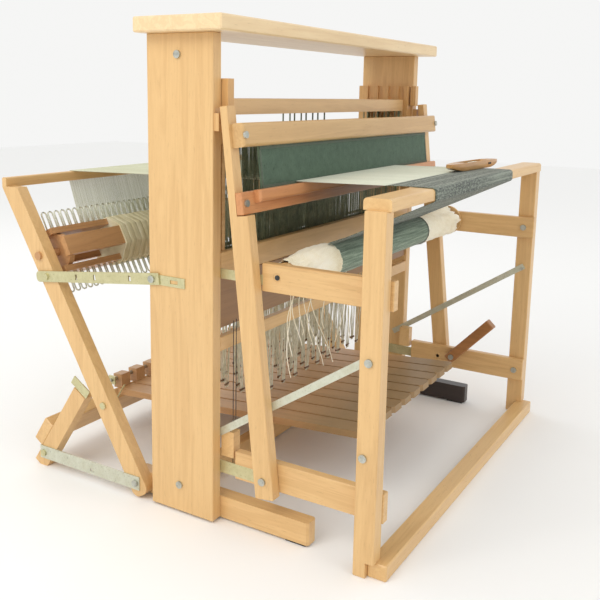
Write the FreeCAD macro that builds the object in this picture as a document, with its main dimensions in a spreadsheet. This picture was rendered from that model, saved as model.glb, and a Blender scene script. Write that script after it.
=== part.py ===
import FreeCAD, Part
import Sketcher
import math
import os
import re

# Floor loom with a folding back frame, in millimetres.
# X runs along the beams, the weaver sits on the -Y side, Z is up and the floor is Z = 0.
# The origin is the middle of the loom's footprint, on the floor.

os.makedirs("parts", exist_ok=True)
doc = FreeCAD.newDocument("FloorLoom")

SIZES = {
    # castle: the two tall sides, the shelf on them and the boards between them
    "inside_half": 614,
    "side_thick": 36,
    "castle_front": -138.5,
    "castle_depth": 211,
    "castle_lift": 6,
    "castle_height": 1288,
    "shelf_half": 694,
    "shelf_thick": 39,
    "shelf_front": 56,
    "shelf_back": 9,
    "board_thick": 20,
    "stretcher_low": 679,
    "stretcher_tall": 62,
    "apron_low": 537,
    "apron_tall": 140,
    "ledge_low": 476,
    "ledge_tall": 38,
    # foot rails under the castle
    "foot_rail_thick": 41,
    "foot_rail_front": 276,
    "foot_rail_back": 300,
    "foot_rail_tall": 62,
    # front legs, breast beam and front foot rail
    "leg_thick": 41,
    "leg_deep": 55,
    "leg_reach": 478,
    "leg_tall": 893,
    "breast_half": 640,
    "breast_thick": 28,
    "breast_deep": 71,
    "breast_reach": 484,
    "front_rail_reach": 507,
    "front_rail_deep": 51,
    "front_rail_tall": 41,
    "front_rail_half": 642,
    "rail_notch": 22,
    # side rails between the front legs and the castle
    "rail_thick": 25,
    "upper_rail_low": 658,
    "upper_rail_tall": 72,
    "upper_rail_gap": 126,
    "upper_rail_reach": 486,
    "lower_rail_low": 130,
    "lower_rail_tall": 77,
    "lower_rail_gap": 47,
    "lower_rail_reach": 481,
    # steel
    "strap_thick": 3,
    "bar_thick": 4,
    "bolt_radius": 6,
    "head_radius": 10,
    "head_tall": 5,
    "turn_gap": 0.05,
    "swing_gap": 0.5,
    # beater, leaning back about the pivot on the lower rails
    "beater_pivot_reach": 157,
    "beater_pivot_tall": 166,
    "beater_lean": -6.67,
    "upright_thick": 35,
    "upright_wide": 55,
    "upright_back": 27,
    "upright_top": 958,
    "upright_foot": 49,
    "upright_narrow": 23,
    "notch_up": 686,
    "hand_tree_half": 640,
    "hand_tree_up": 854,
    "hand_tree_tall": 60,
    "hand_tree_deep": 35,
    "beater_beam_up": 688,
    "beater_beam_tall": 56,
    "beater_beam_deep": 20,
    "race_half": 594,
    "race_tall": 32,
    "race_deep": 20,
    "reed_left": -545,
    "reed_right": 577,
    "reed_thick": 6,
    # back frame, hinged on the castle's foot rails
    "fold_reach": 270,
    "fold_tall": 46,
    "back_lean": -30.6,
    "back_leg_wide": 58,
    "back_leg_long": 972,
    "back_leg_foot": 40,
    "strut_wide": 50,
    "strut_lean": 33.5,
    "strut_foot_reach": 664,
    "strut_long": 322,
    "back_stretcher_thick": 39,
    "back_stretcher_wide": 90,
    "back_beam_reach": 784,
    "back_beam_thick": 18,
    "back_beam_tall": 30,
    "back_beam_top": 888,
    "link_long": 401,
    "link_tall": 40,
    # stay bars from the castle to the back legs
    "stay_pivot_reach": 197,
    "stay_pivot_tall": 654,
    "stay_lean": -6.6,
    "stay_long": 448,
    "stay_wide": 32,
    # treadles on the back stretcher
    "axle_reach": 618,
    "axle_tall": 200,
    "axle_radius": 6,
    "axle_half": 372,
    "treadle_pitch": 73.5,
    "treadle_wide": 65,
    "treadle_thick": 20,
    "treadle_long": 915,
    "treadle_lean": -3.8,
    "heel_tall": 50,
    # harness frames in the castle
    "harness_half": 580,
    "harness_thick": 20,
    "harness_pitch": 42,
    "harness_start": 22,
    "harness_low": 650,
    "harness_tall": 483,
    "harness_rail": 41,
    "harness_bar": 14,
    # cloth beam and warp beam
    "cloth_beam_reach": 172,
    "cloth_beam_tall": 698,
    "cloth_core_radius": 32,
    "cloth_roll_radius": 47,
    "beam_axle_radius": 12,
    "warp_beam_reach": 634,
    "warp_beam_tall": 665,
    "warp_beam_half": 600,
    "drum_radius": 76,
    "slat_wide": 60,
    "slat_thick": 19,
    "hoop_pitch": 25.4,
    "hoop_tall": 60,
    "hoop_wire": 3,
    "cloth_left": -380,
    "cloth_right": 280,
    "web_thick": 1.5,
    # boat shuttle lying on the cloth
    "shuttle_long": 360,
    "shuttle_wide": 42,
    "shuttle_tall": 25,
}

sheet = doc.addObject("Spreadsheet::Sheet", "Sizes")
for row, (name, value) in enumerate(SIZES.items(), start=1):
    sheet.set("A%d" % row, name.replace("_", " "))
    sheet.set("B%d" % row, str(value))
    sheet.setAlias("B%d" % row, name)
doc.recompute()

EASE = 2.0
NODES = []


def ref(text):
    """Turn plain size names into references to the sheet."""
    def named(match):
        word = match.group(0)
        return "Sizes." + word if word in SIZES else word
    return re.sub(r"[a-z]+(?:_[a-z]+)*", named, str(text))


def bind(item, **sizes):
    for prop, text in sizes.items():
        item.setExpression(prop, ref(text))


def put(item, x, y, z):
    item.setExpression(".Placement.Base.x", ref(x))
    item.setExpression(".Placement.Base.y", ref(y))
    item.setExpression(".Placement.Base.z", ref(z))


def turn(item, axis, angle):
    """Turn an item about its own corner; the angle is a sheet value or a number."""
    item.Placement = FreeCAD.Placement(FreeCAD.Vector(0, 0, 0), FreeCAD.Rotation(axis, 1))
    item.setExpression(".Placement.Rotation.Angle", ref(angle))


def add(kind, label):
    item = doc.addObject(kind, label)
    item.Label = label
    return item


def box(label, x, y, z, along_x, along_y, along_z):
    item = add("Part::Box", label)
    bind(item, Length=along_x, Width=along_y, Height=along_z)
    put(item, x, y, z)
    return item


def slanted_box(label, x, start, lean, across, along, along_x, wide, long):
    """A board turned about X by lean. start is the point (y, z) that across and along
    are measured from, in the board's own directions."""
    item = add("Part::Box", label)
    bind(item, Length=along_x, Width=wide, Height=long)
    turn(item, FreeCAD.Vector(1, 0, 0), lean)
    y, z = start
    put(item, x,
        f"({y}) + ({across}) * cos({lean}) - ({along}) * sin({lean})",
        f"({z}) + ({across}) * sin({lean}) + ({along}) * cos({lean})")
    return item


def rod(label, x, y, z, radius, long):
    """A cylinder along +X."""
    item = add("Part::Cylinder", label)
    bind(item, Radius=radius, Height=long)
    turn(item, FreeCAD.Vector(0, 1, 0), "90")
    put(item, x, y, z)
    return item


def join(label, pieces):
    item = add("Part::MultiFuse", label)
    item.Shapes = pieces
    return item


def group(label, pieces):
    item = add("Part::Compound", label)
    item.Links = pieces
    return item


def cut(label, base, tools):
    item = add("Part::Cut", label)
    item.Base = base
    item.Tool = tools[0] if len(tools) == 1 else group(label + "_tools", tools)
    return item


def ease(label, base, size=EASE, edges=None):
    """Take the sharp corners off a board."""
    doc.recompute()
    item = add("Part::Chamfer", label)
    item.Base = base
    item.Edges = [(edge, size, size) for edge in (edges or range(1, 13))]
    return item


def rounded(label, base, size, edges):
    doc.recompute()
    item = add("Part::Fillet", label)
    item.Base = base
    item.Edges = [(edge, size, size) for edge in edges]
    return item


def node(item, label):
    item.Label = label
    NODES.append((item, label))
    return item


def side_x(sign, inner, thick):
    """Where a piece of one side starts in X, given its inner face and thickness."""
    return inner if sign > 0 else f"-({inner}) - ({thick})"


def plane_of(body, role):
    return next(item for item in body.Origin.OriginFeatures if item.Role == role)


def sketch_on(body, role, name):
    sketch = body.newObject("Sketcher::SketchObject", name)
    sketch.AttachmentSupport = [(plane_of(body, role), "")]
    sketch.MapMode = "FlatFace"
    return sketch


def add_outline(sketch, points):
    """A closed outline of straight lines, joined end to end."""
    first = sketch.GeometryCount
    count = len(points)
    for here, there in zip(points, points[1:] + points[:1]):
        start = FreeCAD.Vector(here[0], here[1], 0)
        end = FreeCAD.Vector(there[0], there[1], 0)
        sketch.addGeometry(Part.LineSegment(start, end))
    for index in range(count):
        after = first + (index + 1) % count
        sketch.addConstraint(Sketcher.Constraint("Coincident", first + index, 2, after, 1))


SIDES = (("left", -1), ("right", 1))
FRONT = "castle_front"
LEG_Y = "castle_front - leg_reach"
TOP = "castle_lift + castle_height"
PANEL_OUT = "inside_half + side_thick"
LEG_OUT = "inside_half + leg_thick"
FOLD = ("castle_front + fold_reach", "fold_tall")
PIVOT = ("castle_front - beater_pivot_reach", "beater_pivot_tall")


def slanted_point(start, lean, across, along):
    """The (y, z) of a point given in a leaning board's own directions."""
    y, z = start
    return (f"({y}) + ({across}) * cos({lean}) - ({along}) * sin({lean})",
            f"({z}) + ({across}) * sin({lean}) + ({along}) * cos({lean})")


# ---- castle: two sides, shelf, boards between them ----
for name, sign in SIDES:
    blank = box("castle_blank_" + name, side_x(sign, "inside_half", "side_thick"), FRONT,
                "castle_lift", "side_thick", "castle_depth", "castle_height")
    node(ease("castle_side_" + name, blank), "castle_side_" + name)

shelf = box("shelf_blank", "-shelf_half", FRONT + " - shelf_front", TOP,
            "2 * shelf_half", "shelf_front + castle_depth + shelf_back", "shelf_thick")
node(ease("shelf_eased", shelf, 4.0), "top_shelf")

CROSS_HALF = "inside_half - strap_thick"
stretcher = box("stretcher_blank", f"-({CROSS_HALF})", FRONT, "stretcher_low",
                f"2 * ({CROSS_HALF})", "board_thick", "stretcher_tall")
node(ease("stretcher_eased", stretcher), "castle_stretcher")

apron = box("apron_blank", f"-({CROSS_HALF})", FRONT + " + 6", "apron_low",
            f"2 * ({CROSS_HALF})", "board_thick - 6", "apron_tall")
node(ease("apron_eased", apron, 1.5), "castle_apron")
ledge = box("ledge_blank", "-inside_half", FRONT, "ledge_low",
            "2 * inside_half", "board_thick", "ledge_tall")
node(ease("ledge_eased", ledge), "castle_ledge")

floor_stretcher = box("floor_stretcher_blank", "-inside_half + foot_rail_thick", FRONT + " + 150",
                      "castle_lift", "2 * (inside_half - foot_rail_thick)", "38", "56")
node(ease("floor_stretcher_eased", floor_stretcher), "floor_stretcher")

# ---- foot rails inside the castle sides, with glides under their front ends ----
glides = []
for name, sign in SIDES:
    x = side_x(sign, "inside_half - foot_rail_thick", "foot_rail_thick")
    blank = box("foot_rail_blank_" + name, x, FRONT + " - foot_rail_front", "castle_lift",
                "foot_rail_thick", "foot_rail_front + foot_rail_back", "foot_rail_tall")
    shaped = ease("foot_rail_eased_" + name, blank, 6.0, [1, 5, 3, 7])
    hole = rod("foot_rail_hole_" + name, f"({x}) - 1", *FOLD, "bolt_radius", "foot_rail_thick + 2")
    node(cut("foot_rail_cut_" + name, shaped, [hole]), "foot_rail_" + name)
    glides.append(box("glide_" + name, f"({x}) + 4", FRONT + " - foot_rail_front + 10", "0",
                      "foot_rail_thick - 8", "60", "castle_lift"))
node(group("glides_group", glides), "foot_glides")

# ---- guides on the inner faces of the castle, slotted for the harness frames ----
guides = []
GUIDE_LOW = TOP + " - 275"
for name, sign in SIDES:
    x = side_x(sign, "harness_half - 6", "inside_half - harness_half + 6")
    block = box("guide_block_" + name, x, FRONT + " + 6", GUIDE_LOW,
                "inside_half - harness_half + 6", "castle_depth - 12", "164")
    slots = []
    for count in range(4):
        slot_x = side_x(sign, "harness_half - 8", "9")
        slots.append(box("guide_slot_%s_%d" % (name, count), slot_x,
                         f"{FRONT} + harness_start + {count} * harness_pitch - 0.5",
                         GUIDE_LOW + " - 5", "9", "harness_thick + 1", "180"))
    guides.append(cut("guide_" + name, block, slots))
    guides.append(box("guide_lip_" + name, side_x(sign, "inside_half - 26", "26"), FRONT + " - 20",
                      GUIDE_LOW + " + 92", "26", "20", "72"))
    guides.append(box("bumper_" + name, side_x(sign, "inside_half + 4", "28"), FRONT + " - 15",
                      GUIDE_LOW + " + 35", "28", "15", "44"))
node(group("guides_group", guides), "harness_guides")

# ---- front legs, front foot rail and breast beam ----
NOTCH_BACK = "castle_front - front_rail_reach + front_rail_deep"
for name, sign in SIDES:
    x = side_x(sign, "inside_half", "leg_thick")
    blank = box("leg_blank_" + name, x, LEG_Y, "0", "leg_thick", "leg_deep", "leg_tall")
    shaped = ease("leg_eased_" + name, blank)
    notch = box("leg_notch_" + name, f"({x}) - 1", LEG_Y + " - 1", "-1",
                "leg_thick + 2", f"({NOTCH_BACK}) - ({LEG_Y}) + 1", "front_rail_tall + 1")
    node(cut("leg_cut_" + name, shaped, [notch]), "front_leg_" + name)

rail = box("front_rail_blank", "-front_rail_half", "castle_front - front_rail_reach", "0",
           "2 * front_rail_half", "front_rail_deep", "front_rail_tall")
node(ease("front_rail_eased", rail, 3.0), "front_foot_rail")

breast = box("breast_blank", "-breast_half", "castle_front - breast_reach", "leg_tall",
             "2 * breast_half", "breast_deep", "breast_thick")
node(rounded("breast_rounded", breast, 9.0, [10, 12]), "breast_beam")

# ---- side rails on the inner faces of the front legs ----
CLOTH_AXIS = ("castle_front - cloth_beam_reach", "cloth_beam_tall")
upper_rails = []
lower_rails = []
for name, sign in SIDES:
    x = side_x(sign, "inside_half - rail_thick", "rail_thick")
    blank = box("upper_rail_blank_" + name, x, "castle_front - upper_rail_reach", "upper_rail_low",
                "rail_thick", "upper_rail_reach - upper_rail_gap", "upper_rail_tall")
    shaped = ease("upper_rail_eased_" + name, blank)
    bearing = rod("upper_rail_bearing_" + name, f"({x}) - 1", *CLOTH_AXIS,
                  "beam_axle_radius + turn_gap", "rail_thick + 2")
    strap_bed = box("upper_rail_bed_" + name, side_x(sign, "inside_half - strap_thick", "strap_thick + 1"),
                    "castle_front - upper_rail_gap - 4", "upper_rail_low + 16",
                    "strap_thick + 1", "14", "26")
    upper_rails.append(cut("upper_rail_" + name, shaped, [bearing, strap_bed]))
    blank = box("lower_rail_blank_" + name, x, "castle_front - lower_rail_reach", "lower_rail_low",
                "rail_thick", "lower_rail_reach - lower_rail_gap", "lower_rail_tall")
    shaped = ease("lower_rail_eased_" + name, blank)
    strap_bed = box("lower_rail_bed_" + name, side_x(sign, "inside_half - strap_thick", "strap_thick + 1"),
                    "castle_front - 112", "lower_rail_low + 7", "strap_thick + 1", "80", "35")
    lower_rails.append(cut("lower_rail_" + name, shaped, [strap_bed]))
node(group("upper_rails_group", upper_rails), "upper_side_rails")
node(group("lower_rails_group", lower_rails), "lower_side_rails")

# ---- steel straps from castle to rails, and plates for the stay pivots ----
straps = []
for name, sign in SIDES:
    x = side_x(sign, "inside_half - strap_thick", "strap_thick")
    straps.append(box("upper_strap_" + name, x, "castle_front - upper_rail_gap - 4",
                      "upper_rail_low + 16", "strap_thick", "upper_rail_gap + 4 + 52", "26"))
    straps.append(box("lower_strap_" + name, x, "castle_front - 112", "lower_rail_low + 7",
                      "strap_thick", "112 + 60", "35"))
    plate = box("stay_plate_" + name, side_x(sign, PANEL_OUT, "strap_thick"), FRONT + " + 89",
                "stay_pivot_tall - 14", "strap_thick", "castle_depth - 89", "27")
    slot = box("stay_plate_slot_" + name, side_x(sign, PANEL_OUT + " - 1", "strap_thick + 2"),
               FRONT + " + 112", "stay_pivot_tall - 6", "strap_thick + 2", "26", "10")
    straps.append(cut("stay_plate_cut_" + name, plate, [slot]))
node(group("straps_group", straps), "steel_straps")

# ---- flat steel braces from the castle down-back corners up to the front legs ----
braces = []
BRACE_LEAN = "56.7"
for name, sign in SIDES:
    bar = slanted_box("brace_" + name, side_x(sign, "inside_half - bar_thick", "bar_thick"),
                      ("castle_front + 40", "226"), BRACE_LEAN, "-10", "0",
                      "bar_thick", "20", "592")
    braces.append(bar)
node(group("braces_group", braces), "steel_braces")

blocks = [box("brace_block_" + name, side_x(sign, "inside_half - 34", "30"), FRONT + " - 40", "184",
              "30", "40", "72") for name, sign in SIDES]
node(group("brace_blocks_group", blocks), "brace_blocks")


def bolt(label, sign, y, z, inner, outer, radius="bolt_radius"):
    """A bolt along X through one side: a shank between two faces and a round head outside."""
    shank_x = inner if sign > 0 else f"-({outer})"
    head_x = outer if sign > 0 else f"-({outer}) - head_tall"
    shank = rod(label + "_shank", shank_x, y, z, radius, f"({outer}) - ({inner})")
    head = rod(label + "_head", head_x, y, z, f"({radius}) + 4", "head_tall")
    return join(label, [shank, head])


def inner_bolt(label, sign, y, z, inner, outer):
    """A bolt put in from the inside: its head is on the inner face, its end stays in the wood."""
    shank_x = inner if sign > 0 else f"-({outer}) + 6"
    head_x = f"({inner}) - head_tall" if sign > 0 else f"-({inner})"
    shank = rod(label + "_shank", shank_x, y, z, "bolt_radius", f"({outer}) - ({inner}) - 6")
    head = rod(label + "_head", head_x, y, z, "bolt_radius + 4", "head_tall")
    return join(label, [shank, head])


# ---- frame bolts: legs to rails, and the pins that the moving frames turn on ----
RAIL_IN = "inside_half - rail_thick"
UPRIGHT_IN = "inside_half + swing_gap"
UPRIGHT_OUT = "inside_half + swing_gap + upright_thick"
BACK_IN = "inside_half + swing_gap"
BACK_OUT = "inside_half + swing_gap + side_thick"
LINK_OUT = "inside_half + swing_gap + side_thick + bar_thick"
STAY_IN = "inside_half + side_thick + strap_thick + 0.3"
STAY_OUT = "inside_half + side_thick + strap_thick + 0.3 + bar_thick"
STAY_AXIS = ("castle_front + stay_pivot_reach", "stay_pivot_tall")
bolts = []
for name, sign in SIDES:
    bolts.append(bolt("leg_brace_bolt_" + name, sign, LEG_Y + " + 30", "541",
                      "inside_half - bar_thick - 3", LEG_OUT))
    bolts.append(bolt("leg_low_bolt_" + name, sign, LEG_Y + " + 37", "306", "inside_half + 4", LEG_OUT))
    bolts.append(inner_bolt("leg_rail_bolt_" + name, sign, LEG_Y + " + 28", "upper_rail_low + 36",
                            RAIL_IN, LEG_OUT))
    bolts.append(inner_bolt("leg_lower_bolt_" + name, sign, LEG_Y + " + 28", "lower_rail_low + 36",
                            RAIL_IN, LEG_OUT))
    bolts.append(bolt("castle_top_bolt_" + name, sign, FRONT + " + 110", TOP + " - 53",
                      "inside_half + 4", PANEL_OUT))
    bolts.append(bolt("castle_low_bolt_" + name, sign, FRONT + " + 112", "84",
                      "inside_half + 4", PANEL_OUT))
    bolts.append(bolt("beater_pin_" + name, sign, *PIVOT, RAIL_IN, UPRIGHT_OUT + " + 0.3"))
    bolts.append(bolt("fold_pin_" + name, sign, *FOLD, "inside_half - foot_rail_thick",
                      LINK_OUT + " + 0.3"))
    bolts.append(bolt("stay_pin_" + name, sign, *STAY_AXIS, "inside_half", STAY_OUT + " + 0.3"))
BRAKE = ("castle_front - 222", "lower_rail_low + 52")
bolts.append(bolt("brake_pin", -1, *BRAKE, "-(inside_half - strap_thick)",
                  "-(inside_half - rail_thick - 0.5 - 34 - 0.3)"))
node(group("frame_bolts_group", bolts), "frame_bolts")

# ---- beater ----
uprights = {}
for name, sign in SIDES:
    x = side_x(sign, UPRIGHT_IN, "upright_thick")
    stem = slanted_box("upright_stem_" + name, x, PIVOT, "beater_lean",
                       "upright_back - upright_wide", "-upright_foot",
                       "upright_thick", "upright_wide", "upright_foot + upright_top")
    shaped = ease("upright_eased_" + name, stem)
    notch = slanted_box("upright_notch_" + name, f"({x}) - 1", PIVOT, "beater_lean",
                        "upright_back - upright_wide - 2", "notch_up",
                        "upright_thick + 2", "upright_wide - upright_narrow + 2", "400")
    hole = rod("upright_hole_" + name, f"({x}) - 1", *PIVOT, "bolt_radius + turn_gap",
               "upright_thick + 2")
    node(cut("upright_cut_" + name, shaped, [notch, hole]), "beater_upright_" + name)

NARROW_FACE = "upright_back - upright_narrow"
hand_tree = slanted_box("hand_tree_blank", "-hand_tree_half", PIVOT, "beater_lean",
                        f"({NARROW_FACE}) - hand_tree_deep", "hand_tree_up",
                        "2 * hand_tree_half", "hand_tree_deep", "hand_tree_tall")
node(rounded("hand_tree_rounded", hand_tree, 9.0, [9, 10, 12, 1, 5]), "hand_tree")

beam = slanted_box("beater_beam_blank", f"-({UPRIGHT_OUT})", PIVOT, "beater_lean",
                   f"({NARROW_FACE}) - beater_beam_deep", "beater_beam_up",
                   f"2 * ({UPRIGHT_OUT})", "beater_beam_deep", "beater_beam_tall")
node(ease("beater_beam_eased", beam), "beater_beam")

race = slanted_box("race_blank", "-race_half", PIVOT, "beater_lean",
                   f"({NARROW_FACE}) - beater_beam_deep - race_deep",
                   "beater_beam_up + beater_beam_tall + 2 - race_tall",
                   "2 * race_half", "race_deep", "race_tall")
node(rounded("race_rounded", race, 8.0, [1, 5, 9]), "shuttle_race")

reed = slanted_box("reed_blade", "reed_left", PIVOT, "beater_lean",
                   f"({NARROW_FACE}) - 14", "beater_beam_up + beater_beam_tall",
                   "reed_right - reed_left", "reed_thick", "hand_tree_up - beater_beam_up - beater_beam_tall")
node(reed, "reed")

beater_bolts = []
for name, sign in SIDES:
    x = f"{sign} * (UPRIGHT_MID)".replace("UPRIGHT_MID", UPRIGHT_IN + " + upright_thick / 2")
    for label, along, front in (("tree", "hand_tree_up + hand_tree_tall / 2", "hand_tree_deep"),
                                ("beam", "beater_beam_up + beater_beam_tall / 2", "beater_beam_deep")):
        head = add("Part::Cylinder", "%s_bolt_%s" % (label, name))
        bind(head, Radius="9", Height="head_tall")
        turn(head, FreeCAD.Vector(1, 0, 0), "beater_lean + 90")
        put(head, x, *slanted_point(PIVOT, "beater_lean", f"({NARROW_FACE}) - {front}", along))
        beater_bolts.append(head)
node(group("beater_bolts_group", beater_bolts), "beater_bolts")

# ---- back frame: long legs, struts, stretcher, beam and floor links ----
struts = []
for name, sign in SIDES:
    x = side_x(sign, BACK_IN, "side_thick")
    leg = slanted_box("back_leg_blank_" + name, x, FOLD, "back_lean", "-back_leg_wide / 2",
                      "-back_leg_foot", "side_thick", "back_leg_wide", "back_leg_long + back_leg_foot")
    shaped = rounded("back_leg_rounded_" + name, leg, 22.0, [9, 11])
    pin = rod("back_leg_pin_" + name, f"({x}) - 1", *FOLD, "bolt_radius + turn_gap", "side_thick + 2")
    bearing = rod("back_leg_bearing_" + name, f"({x}) - 1", "castle_front + warp_beam_reach",
                  "warp_beam_tall", "beam_axle_radius + turn_gap", "side_thick + 2")
    top = box("back_leg_top_" + name, f"({x}) - 1", "castle_front + 600", "back_beam_top - 27",
              "side_thick + 2", "300", "300")
    seat = box("back_leg_seat_" + name, f"({x}) - 1", "castle_front + back_beam_reach - back_beam_thick",
               "back_beam_top - back_beam_tall", "side_thick + 2", "100", "back_beam_tall + 50")
    node(cut("back_leg_cut_" + name, shaped, [pin, bearing, top, seat]), "back_leg_" + name)
    strut = slanted_box("strut_blank_" + name, x, ("castle_front + strut_foot_reach", "0"), "strut_lean",
                        "-strut_wide / 2", "0", "side_thick", "strut_wide", "strut_long")
    foot = box("strut_foot_" + name, f"({x}) - 1", "castle_front + strut_foot_reach - 150", "-150",
               "side_thick + 2", "300", "150")
    struts.append(cut("strut_" + name, strut, [foot]))
node(group("struts_group", struts), "back_struts")

back_beam = box("back_beam_blank", f"-({BACK_OUT})", "castle_front + back_beam_reach - back_beam_thick",
                "back_beam_top - back_beam_tall", f"2 * ({BACK_OUT})", "back_beam_thick", "back_beam_tall")
node(rounded("back_beam_rounded", back_beam, 6.0, [10, 12]), "back_beam")

STRUT_FOOT = ("castle_front + strut_foot_reach", "0")
back_stretcher = slanted_box("back_stretcher_blank", f"-({BACK_OUT})", STRUT_FOOT, "strut_lean",
                             "strut_wide / 2", "57", f"2 * ({BACK_OUT})",
                             "back_stretcher_thick", "back_stretcher_wide")
node(ease("back_stretcher_eased", back_stretcher, 3.0), "back_stretcher")

links = []
for name, sign in SIDES:
    x = side_x(sign, BACK_OUT, "bar_thick")
    bar = box("link_bar_" + name, x, FOLD[0] + " - 14", FOLD[1] + " - link_tall / 2",
              "bar_thick", "link_long", "link_tall")
    hole = rod("link_hole_" + name, f"({x}) - 1", *FOLD, "bolt_radius + turn_gap", "bar_thick + 2")
    spare = rod("link_spare_" + name, f"({x}) - 1", FOLD[0] + " + 173", FOLD[1] + " - 7", "5",
                "bar_thick + 2")
    links.append(cut("link_" + name, bar, [hole, spare]))
node(group("links_group", links), "floor_links")

back_steel = []
for name, sign in SIDES:
    back_steel.append(bolt("link_bolt_" + name, sign, FOLD[0] + " + 372", FOLD[1] + " - 2", BACK_IN, LINK_OUT))
    back_steel.append(bolt("leg_bolt_" + name, sign, FOLD[0] + " + 121", FOLD[1] + " + 205",
                           BACK_IN, BACK_OUT))
    tab_x = side_x(sign, BACK_IN + " - 0.3", "0.3")
    back_steel.append(slanted_box("leg_tab_" + name, side_x(sign, BACK_OUT, "strap_thick"),
                                  ("castle_front + 484", "292"), "strut_lean",
                                  "-40", "-14", "strap_thick", "70", "28"))
axle_brackets = []
for count, x in enumerate(("-axle_half - 4", "-3", "axle_half - 2")):
    block = box("bracket_block_%d" % count, x, "castle_front + axle_reach - 14",
                "axle_tall - 14", "6", "28", "28")
    stem = slanted_box("bracket_stem_%d" % count, x, STRUT_FOOT, "strut_lean",
                       "strut_wide / 2 - 3", "95", "6", "3", "122")
    hole = rod("bracket_hole_%d" % count, f"({x}) - 1", "castle_front + axle_reach", "axle_tall",
               "axle_radius + turn_gap", "8")
    axle_brackets.append(cut("bracket_%d" % count, join("bracket_body_%d" % count, [block, stem]), [hole]))
node(group("back_steel_group", back_steel + axle_brackets), "back_steel")

# ---- stay bars: slotted, from the pivot on the castle to the back legs ----
stays = []
for name, sign in SIDES:
    x = side_x(sign, STAY_IN, "bar_thick")
    bar = slanted_box("stay_bar_" + name, x, STAY_AXIS, "stay_lean", "-24", "-stay_wide / 2",
                      "bar_thick", "stay_long + 24", "stay_wide")
    tools = [rod("stay_hole_" + name, f"({x}) - 1", *STAY_AXIS, "bolt_radius + turn_gap",
                 "bar_thick + 2")]
    for count, reach in enumerate((80, 212, 284)):
        tools.append(slanted_box("stay_slot_%s_%d" % (name, count), f"({x}) - 1", STAY_AXIS,
                                 "stay_lean", f"{reach} - 4", "-8", "bar_thick + 2", "8", "16"))
    blank = cut("stay_cut_" + name, rounded("stay_rounded_" + name, bar, 12.0, [11, 12]), tools)
    y, z = slanted_point(STAY_AXIS, "stay_lean", "407", "0")
    head = rod("stay_bolt_" + name, side_x(sign, STAY_OUT, "head_tall"), y, z, "head_radius", "head_tall")
    stays.append(join("stay_" + name, [blank, head]))
node(group("stays_group", stays), "stay_bars")

# ---- treadle axle and ten treadles ----
AXLE = ("castle_front + axle_reach", "axle_tall")
axle = rod("axle_rod", "-axle_half - 12", *AXLE, "axle_radius", "2 * axle_half + 24")
node(axle, "treadle_axle")

FOOT_CLIP = 9.0
for count in range(10):
    label = "treadle_%d" % (count + 1)
    x = f"({count} - 4.5) * treadle_pitch - treadle_wide / 2"
    blade = slanted_box(label + "_blade", x, AXLE, "treadle_lean", "-treadle_long",
                        "-50", "treadle_wide", "treadle_long - 14", "treadle_thick")
    tip = ease(label + "_tip", blade, FOOT_CLIP, [1, 5])
    heel = slanted_box(label + "_heel", f"({x}) + 12", AXLE, "treadle_lean", "-22", "-32",
                       "treadle_wide - 24", "36", "heel_tall - 4")
    hole = rod(label + "_hole", f"({x}) - 1", *AXLE, "axle_radius + turn_gap", "treadle_wide + 2")
    node(cut(label + "_cut", join(label + "_body", [tip, heel]), [hole]), label)

# ---- brake treadle on the far lower rail ----
brake_x = "inside_half - rail_thick - 0.5 - 34"
lever = slanted_box("brake_blade", brake_x, BRAKE, "43.5", "-18", "-20", "34", "37", "225")
lever_hole = rod("brake_hole", f"({brake_x}) - 1", *BRAKE, "bolt_radius + turn_gap", "36")
node(cut("brake_cut", ease("brake_eased", lever, 3.0), [lever_hole]), "brake_treadle")

# ---- harness frames: open rectangles that slide in the castle's guides ----
for count in range(4):
    label = "harness_%d" % (count + 1)
    y = f"{FRONT} + harness_start + {count} * harness_pitch"
    outer = box(label + "_outer", "-harness_half", y, "harness_low",
                "2 * harness_half", "harness_thick", "harness_tall")
    inner = box(label + "_inner", "-harness_half + harness_bar", f"{y} - 1",
                "harness_low + harness_rail", "2 * (harness_half - harness_bar)",
                "harness_thick + 2", "harness_tall - 2 * harness_rail")
    node(cut(label + "_frame", outer, [inner]), label)

# ---- cloth beam with its ratchet wheel, and the cloth wound on it ----
core = rod("cloth_core", "-(inside_half - rail_thick - 3)", *CLOTH_AXIS, "cloth_core_radius",
           "2 * (inside_half - rail_thick - 3)")
axle = rod("cloth_axle", "-(inside_half - 1)", *CLOTH_AXIS, "beam_axle_radius", "2 * (inside_half - 1)")
wheel = rod("ratchet_wheel", "inside_half - rail_thick - 14", *CLOTH_AXIS, "52", "8")
node(join("cloth_beam_body", [core, axle, wheel]), "cloth_beam")

roll_outer = rod("cloth_roll_outer", "cloth_left", *CLOTH_AXIS, "cloth_roll_radius",
                 "cloth_right - cloth_left")
roll_inner = rod("cloth_roll_inner", "cloth_left - 1", *CLOTH_AXIS, "cloth_core_radius",
                 "cloth_right - cloth_left + 2")
node(cut("cloth_roll_ring", roll_outer, [roll_inner]), "cloth_roll")

# ---- warp beam: axle, square core, four slats; hoops and the wound warp ----
WARP_AXIS = ("castle_front + warp_beam_reach", "warp_beam_tall")
beam_axle = rod("warp_axle", f"-({BACK_OUT}) - 8", *WARP_AXIS, "beam_axle_radius",
                f"2 * ({BACK_OUT}) + 16")
drum_parts = [beam_axle]
for count, x in enumerate(("-warp_beam_half + 20", "-10", "warp_beam_half - 40")):
    drum_parts.append(rod("warp_disc_%d" % count, x, *WARP_AXIS, "drum_radius - slat_thick - 3", "20"))
SLAT_TURNS = [-27 - 90 * count for count in range(4)]
for angle in SLAT_TURNS:
    drum_parts.append(slanted_box("slat_%d" % -angle, "-warp_beam_half", WARP_AXIS, str(angle),
                                  "-slat_wide / 2", "drum_radius - slat_thick - 6",
                                  "2 * warp_beam_half", "slat_wide", "slat_thick"))
node(join("warp_beam_body", drum_parts), "warp_beam")

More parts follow.
